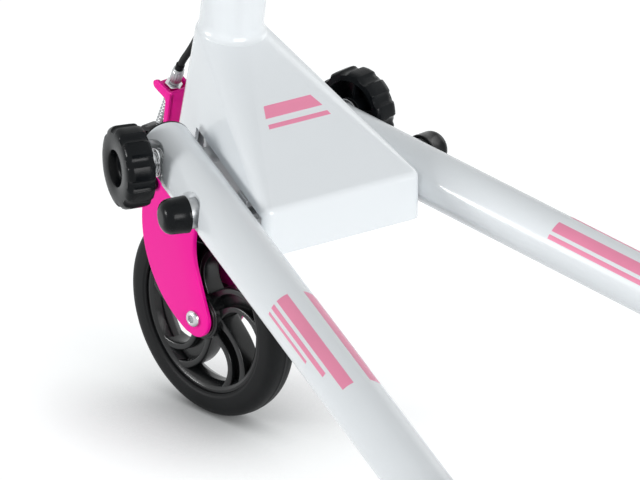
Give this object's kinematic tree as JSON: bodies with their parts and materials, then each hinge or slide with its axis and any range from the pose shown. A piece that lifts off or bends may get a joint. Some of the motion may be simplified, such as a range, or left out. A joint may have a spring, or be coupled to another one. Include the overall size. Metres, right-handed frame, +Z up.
{
  "type": "wiggle scooter",
  "caption": "Three-wheeled standing scooter: steered front wheel with hand brake, folding splayed arms with knob and plunger locks, foot decks and trailing rear castors.",
  "frame": {"origin": "on the ground, midway between the front of the front tyre and the rear of the castor tyres, in the middle plane", "axes": "+Z up, the scooter drives towards -Y, +X is the left of a rider standing on it"},
  "size_m": [0.5268, 0.8691, 0.8565],
  "materials": {
    "white_paint": "gloss white powder coat",
    "pink_paint": "gloss hot pink paint",
    "steel": "zinc-plated steel",
    "tyre_rubber": "smooth black tyre",
    "soft_black": "soft black rubber",
    "black_metal": "black coated alloy",
    "white_plastic": "white moulded plastic",
    "black_plastic": "satin black moulded plastic"
  },
  "bodies": {
    "frame": {"hood": "white_paint", "head_tube": "white_paint", "headset_cups": "steel", "side_plates": "white_paint", "pivot_bolts": "steel", "pivot_spacers": "black_plastic", "knob_washers": "steel"},
    "steering": {"fork_blade_left": "pink_paint", "fork_blade_right": "pink_paint", "fork_crown": "pink_paint", "steering_column": "white_paint", "headset_nut": "steel", "stem_collar": "black_metal", "collar_bolts": "steel", "front_axle": "steel", "brake_bracket": "pink_paint", "adjuster_nut": "steel", "barrel_adjuster": "steel", "brake_wire": "steel", "brake_spring": "steel", "brake_pivot": "steel", "brake_cable": "soft_black", "t_bar": "white_paint", "left_grip": "soft_black", "right_grip": "soft_black", "lever_perch": "black_metal", "lever_pin": "steel"},
    "front_wheel": {"front_tyre": "tyre_rubber", "front_rim": "black_plastic", "front_bearings": "steel"},
    "brake_arm": {"brake_arm": "black_metal", "brake_pad": "soft_black", "cable_anchor": "steel"},
    "brake_lever": {"brake_lever": "black_metal"},
    "left_arm": {"left_arm": "white_paint", "left_arm_plugs": "black_plastic", "left_ferrule": "steel", "left_deck": "black_plastic", "left_deck_mat": "soft_black", "left_castor_housing": "white_paint"},
    "left_plunger": {"left_pull_cap": "black_plastic", "left_pin": "steel"},
    "left_knob": {"left_knob": "black_plastic"},
    "left_castor": {"left_castor_fork": "steel", "left_castor_axle": "steel"},
    "left_castor_wheel": {"left_castor_tyre": "tyre_rubber", "left_castor_core": "white_plastic"},
    "right_arm": {"right_arm": "white_paint", "right_arm_plugs": "black_plastic", "right_ferrule": "steel", "right_deck": "black_plastic", "right_deck_mat": "soft_black", "right_castor_housing": "white_paint"},
    "right_plunger": {"right_pull_cap": "black_plastic", "right_pin": "steel"},
    "right_knob": {"right_knob": "black_plastic"},
    "right_castor": {"right_castor_fork": "steel", "right_castor_axle": "steel"},
    "right_castor_wheel": {"right_castor_tyre": "tyre_rubber", "right_castor_core": "white_plastic"}
  },
  "joints": [
    {"name": "steer", "type": "hinge", "parent": "frame", "child": "steering", "pos_m": [0, -0.3736, 0.07754], "axis": [0, 0.1788, 0.9839], "range_deg": [-53.3, 36.7]},
    {"name": "front_wheel_spin", "type": "hinge", "parent": "steering", "child": "front_wheel", "pos_m": [-0.00205, -0.35978, 0.07503], "axis": [0.9895, 0.142, -0.0258], "continuous": true},
    {"name": "brake_lever_pull", "type": "hinge", "parent": "steering", "child": "brake_lever", "pos_m": [-0.07582, -0.27664, 0.84253], "axis": [0, -0.1788, -0.9839], "range_deg": [0, 13], "stiffness_Nm_per_rad": 0.6, "springref_deg": -11.46},
    {"name": "brake_arm_rock", "type": "hinge", "parent": "steering", "child": "brake_arm", "pos_m": [0.00577, -0.39788, 0.16529], "axis": [-0.9895, -0.142, 0.0258], "range_deg": [0, 5.2], "deforming": ["brake_spring", "brake_wire"]},
    {"name": "left_arm_fold", "type": "hinge", "parent": "frame", "child": "left_arm", "pos_m": [0.0603, -0.31043, 0.2185], "axis": [0.9744, -0.225, 0], "range_deg": [0, 68]},
    {"name": "left_knob_turn", "type": "hinge", "parent": "frame", "child": "left_knob", "pos_m": [0.10376, -0.32046, 0.2185], "axis": [0.9744, -0.225, 0], "continuous": true},
    {"name": "left_plunger_pull", "type": "slide", "parent": "left_arm", "child": "left_plunger", "axis": [0.9744, -0.225, 0], "range_m": [-0.003, 0.005], "stiffness_N_per_m": 800},
    {"name": "left_castor_swivel", "type": "hinge", "parent": "left_arm", "child": "left_castor", "pos_m": [0.21297, 0.35084, 0.08754], "axis": [0, -0.2588, 0.9659], "continuous": true},
    {"name": "left_castor_spin", "type": "hinge", "parent": "left_castor", "child": "left_castor_wheel", "pos_m": [0.21297, 0.39463, 0.04], "axis": [1, 0, 0], "continuous": true},
    {"name": "right_arm_fold", "type": "hinge", "parent": "frame", "child": "right_arm", "pos_m": [-0.0603, -0.31043, 0.2185], "axis": [0.9744, 0.225, 0], "range_deg": [0, 68]},
    {"name": "right_knob_turn", "type": "hinge", "parent": "frame", "child": "right_knob", "pos_m": [-0.10376, -0.32046, 0.2185], "axis": [-0.9744, -0.225, 0], "continuous": true},
    {"name": "right_plunger_pull", "type": "slide", "parent": "right_arm", "child": "right_plunger", "axis": [-0.9744, -0.225, 0], "range_m": [-0.003, 0.005], "stiffness_N_per_m": 800},
    {"name": "right_castor_swivel", "type": "hinge", "parent": "right_arm", "child": "right_castor", "pos_m": [-0.21297, 0.35084, 0.08754], "axis": [0, -0.2588, 0.9659], "continuous": true},
    {"name": "right_castor_spin", "type": "hinge", "parent": "right_castor", "child": "right_castor_wheel", "pos_m": [-0.21297, 0.39463, 0.04], "axis": [1, 0, 0], "continuous": true}
  ],
  "couplings": [
    {"joint": "brake_arm_rock", "follows": "brake_lever_pull", "ratio": 0.4}
  ]
}
